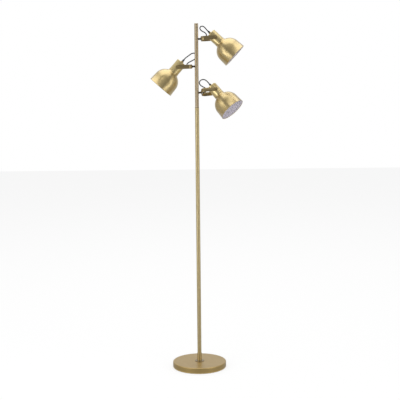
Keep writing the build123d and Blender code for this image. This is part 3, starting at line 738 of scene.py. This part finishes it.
gold_lower = brass("gold_lower", *LOWER_TONE, rough=0.40)
gold_upper = brass("gold_upper", *UPPER_TONE, rough=0.44)
gold_base = brass("gold_base", *BASE_TONE, rough=0.42)
# darker brass for the flange: painted shade where the pole meets the base
flange_shaded_brass = brass("flange_shaded_brass", *FLANGE_SHADED_TONE, rough=0.40)
dark_bronze = plain("dark_bronze", (0.10, 0.085, 0.06), (0.05, 0.042, 0.03), rough=0.38, metal=0.7)
zinc = plain("zinc_plate", (0.66, 0.66, 0.64), (0.48, 0.49, 0.50), rough=0.36, metal=1.0)
cast_iron = plain("cast_iron", (0.075, 0.075, 0.08), (0.03, 0.03, 0.033), rough=0.75,
                  scale=500.0, bump=0.6, depth=0.0004)
rubber = plain("foot_rubber", (0.045, 0.045, 0.045), (0.02, 0.02, 0.02), rough=0.8,
               scale=700.0, bump=0.3)
black_plastic = plain("black_plastic", (0.03, 0.03, 0.032), (0.012, 0.012, 0.013), rough=0.42,
                      scale=900.0)
nylon = plain("nylon", (0.82, 0.81, 0.76), (0.72, 0.71, 0.66), rough=0.45, scale=600.0)
holder_plastic = plain("lampholder_plastic", (0.80, 0.79, 0.74), (0.70, 0.69, 0.64), rough=0.35,
                       scale=450.0, bump=0.05)
contact_brass = plain("contact_brass", (0.85, 0.68, 0.34), (0.62, 0.47, 0.20), rough=0.25, metal=1.0)

for node, material in {
        "lower_tube": gold_lower, "pole_collar": gold_lower, "upper_tube": gold_upper,
        "top_cap": gold_upper, "base_cover": gold_base, "pole_flange": flange_shaded_brass,
        "tube_coupler": dark_bronze,
        "base_weight": cast_iron, "base_plate": zinc, "plate_screws": zinc, "base_rod": zinc,
        "base_washer": zinc, "base_nut": zinc, "pole_insert": zinc, "foot_pad": rubber,
        "inlet_bush": black_plastic, "friction_washers": nylon}.items():
    dress(node, material)
print("finishes on the stand")

# %% [markdown]
# ## The heads
#
# A shade is spun from one disc of thin sheet. Its rim is rolled over a wire's width, which makes it
# stiff and safe to touch. Outside it has the same brushed brass as the rest, and inside it is
# sprayed a pale, slightly cool white, so that it throws the light out. Both skins are one closed
# turned shape here. The faces of the outline after the bead get the paint.

# %% Shades
SHADE_WALL = 1.0
SHADE_RIM = -112.5
SHADE_TOP = -23.0
SHADE_OUTLINE = [(22.8, SHADE_TOP, 0), (22.8, -31.1, 7.0), (52.8, -50.0, 50.0), (56.4, SHADE_RIM, 0)]
SHADE_HOLE = 18.05
BEAD = 1.0
BEAD_START = math.radians(64)
BEAD_TURN = math.radians(-300)
BEAD_STEPS = 14


def shade_outline():
    """From the hole down to the rim, round the bead and up inside, in mm; and the first inner ring."""
    skin = rounded(SHADE_OUTLINE, steps=20)
    outer = [Vector((SHADE_HOLE, SHADE_TOP))] + skin[:-1]
    centre = Vector((SHADE_OUTLINE[-1][0] - SHADE_WALL / 2, SHADE_RIM + BEAD))
    bead = []
    for k in range(BEAD_STEPS + 1):
        angle = BEAD_START + BEAD_TURN * k / BEAD_STEPS
        bead.append(centre + BEAD * Vector((math.cos(angle), math.sin(angle))))
    inner = list(reversed(shifted(skin, -SHADE_WALL)[1:-1]))
    ceiling = SHADE_TOP - SHADE_WALL
    inner += [Vector((SHADE_OUTLINE[0][0] - SHADE_WALL, ceiling)), Vector((SHADE_HOLE, ceiling))]
    return outer + bead + inner, len(outer) + len(bead) - 2


def shade_paint(name, frame_of_piece):
    """Pale satin paint with the faint orange peel of a spray gun."""
    material, graph = new_material(name)
    place = aligned(graph, frame_of_piece)
    peel = graph.add("ShaderNodeTexNoise", {"Vector": place, "Scale": 900.0, "Detail": 2.0})
    haze = graph.add("ShaderNodeTexNoise", {"Vector": place, "Scale": 35.0, "Detail": 3.0})
    colour = graph.ramp(haze.outputs[0], [(0.3, (0.74, 0.71, 0.765)), (0.7, (0.78, 0.75, 0.80))])
    gloss = graph.ramp(haze.outputs[0], [(0.3, 0.52), (0.7, 0.42)])
    bump = graph.add("ShaderNodeBump", {"Height": peel.outputs[0], "Strength": 0.04, "Distance": 0.0002})
    shader = graph.add("ShaderNodeBsdfPrincipled", {"Base Color": colour, "Roughness": gloss,
                                                    "Normal": bump.outputs[0]})
    graph.add("ShaderNodeOutputMaterial", {"Surface": shader.outputs[0]})
    return material


outline, paint_from = shade_outline()
for name in HEADS:
    place = head_frame(name)
    dome_brass = brass(name + "_brass", *DOME_TONE, rough=0.32, frame_of_piece=place, smear=0.95)
    paint = shade_paint(name + "_shade_paint", place)
    turned(name + "_shade", outline, place, dome_brass, name + "_head", "shade_metal", sides=160,
           inside=paint, inside_from=paint_from)

# %% [markdown]
# ## Small turned parts of a head
#
# The lampholder's shell is rolled sheet with a deep round thread, which takes the lamp's cap. The
# ring that clamps the shade is moulded with ribs for the fingers. The strain relief is a moulded
# grip with grooves, so that it bends with the lead instead of cutting it. The stub is a hollow
# threaded pin with a shoulder. All of them come from the same lathe, with its thread or its ribs.

# %% Small turned parts
SIDEWAYS = Matrix.Rotation(math.radians(90), 4, "Y")
SHELL_THREAD = {"Thread Depth": 0.0006, "Thread Pitch": 0.00363, "Wave From": -0.0385,
                "Wave To": -0.0165}
STUB_THREAD = {"Thread Depth": 0.0004, "Thread Pitch": 0.001, "Wave From": 0.0189, "Wave To": 0.0261,
               "Wave Fade": 0.0003, "Wave Beyond": 0.0035}
RING_RIBS = {"Ribs": 40, "Rib Depth": 0.0006, "Wave From": -0.0287, "Wave To": -0.0243,
             "Wave Fade": 0.0004, "Wave Beyond": 0.0195}
RELIEF_RADIUS = 4.75
RELIEF_CONE = 32.0
RELIEF_TAPER = 0.095
GROOVES = (33.3, 35.6, 37.9)
GROOVE_DEPTH = 0.8


def straight(*corners):
    """An outline whose corners are all sharp."""
    return [Vector(corner) for corner in corners]


def relief_outline():
    """A cone with three grooves on a flange and a threaded foot."""
    line = [(2.5, 20.5, 0), (4.0, 20.5, 0.3), (4.0, 27.5, 0), (RELIEF_RADIUS, 27.5, 0),
            (RELIEF_RADIUS, RELIEF_CONE, 0)]
    for start in GROOVES:
        for step, depth in ((0, 0), (0.15, GROOVE_DEPTH), (0.95, GROOVE_DEPTH), (1.1, 0)):
            z = start + step
            line.append((RELIEF_RADIUS - RELIEF_TAPER * (z - RELIEF_CONE) - depth, z, 0))
    return rounded(line + [(3.8, 42.0, 1.0), (2.5, 42.0, 0)])


def small_parts(name):
    """The lampholder's shell, the shade ring, the strain relief and the stub of one head."""
    head = name + "_head"
    place = head_frame(name)
    shell = straight((13.3, -39.5), (13.8, -39.5), (13.8, -15.5), (13.3, -15.5))
    turned(name + "_threaded_shell", divided(shell, 0.45), place, contact_brass, head, "contact_brass",
           **SHELL_THREAD)
    ring = rounded([(18.05, -29.0, 0), (21.3, -29.0, 0.5), (21.3, -24.0, 0.5), (18.05, -24.0, 0)],
                   steps=3)
    turned(name + "_shade_ring", divided(ring, 0.8), place, holder_plastic, head, "lampholder_plastic",
           sides=240, **RING_RIBS)
    turned(name + "_strain_relief", relief_outline(), place, black_plastic, head, "black_plastic",
           sides=40)
    stub = straight((2.7, 2.0), (4.0, 2.0), (4.0, 17.35), (6.0, 17.35), (6.0, 18.75), (4.0, 18.75),
                    (4.0, 26.05), (2.7, 26.05))
    turned(name + "_stub", divided(stub, 0.25), stub_frame(name) @ SIDEWAYS, dark_bronze, "stand",
           "dark_metal", sides=40, **STUB_THREAD)


for name in HEADS:
    small_parts(name)

# %% [markdown]
# ## Bent and cut parts
#
# The yokes are bent from flat strip and the nuts are cut from bar. Their shape is already exact in
# the model, but its edges are perfectly sharp, and no real edge is: tumbling or plating rounds it by
# a few tenths of a millimetre, and that small round catches the light. So each gets a copy of the
# model's own mesh with its edges bevelled.

# %% Bent and cut parts
FLAT_WITHIN = math.radians(2)
EDGE_BEYOND = math.radians(40)


def softened(node, width, body, material):
    """A copy of a node of the model with small rounds on its edges; the width is in mm."""
    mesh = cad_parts[node].data.copy()
    data = bmesh.new()
    data.from_mesh(mesh)
    bmesh.ops.remove_doubles(data, verts=data.verts, dist=1e-6)
    bmesh.ops.dissolve_limit(data, angle_limit=FLAT_WITHIN, verts=data.verts, edges=data.edges)
    data.to_mesh(mesh)
    data.free()
    host = bpy.data.objects.new(node + "_host", mesh)
    bpy.context.scene.collection.objects.link(host)
    modifier = host.modifiers.new("soft_edges", "BEVEL")
    modifier.width = width * MM
    modifier.segments = 2
    modifier.limit_method = "ANGLE"
    modifier.angle_limit = EDGE_BEYOND
    skin = evaluated_mesh(host, node + "_soft")
    outward(skin, sharp=35.0)
    skin.materials.clear()
    skin.materials.append(material)
    piece = bpy.data.objects.new(node + "_soft", skin)
    bpy.context.scene.collection.objects.link(piece)
    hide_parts(node)
    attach(piece, body)
    print(piece.name, len(skin.polygons), "faces")


softened("lock_nuts", 0.25, "stand", zinc)
for name in HEADS:
    place = head_frame(name)
    arm = arm_frame(name)
    # the yokes and pivot screws take the darker brass, painted shade
    yoke_shaded_brass = brass(name + "_yoke_shaded_brass", *YOKE_SHADED_TONE, rough=0.34, frame_of_piece=arm,
                       squeeze=(0.03, 1.0, 1.0))
    softened(name + "_yoke", 0.3, name + "_arm", yoke_shaded_brass)
    # the lamp cup and cord gland take the lighter brass, a painted highlight
    cup_highlit_brass = brass(name + "_cup_highlit_brass", *CUP_HIGHLIT_TONE, rough=0.34, frame_of_piece=place)
    for piece, material in {
            "lamp_cup": cup_highlit_brass, "cord_gland": cup_highlit_brass, "pivot_screws": yoke_shaded_brass,
            "pivot_washers": nylon, "lampholder": holder_plastic, "centre_contact": contact_brass,
            "stub_bush": black_plastic}.items():
        dress(name + "_" + piece, material)
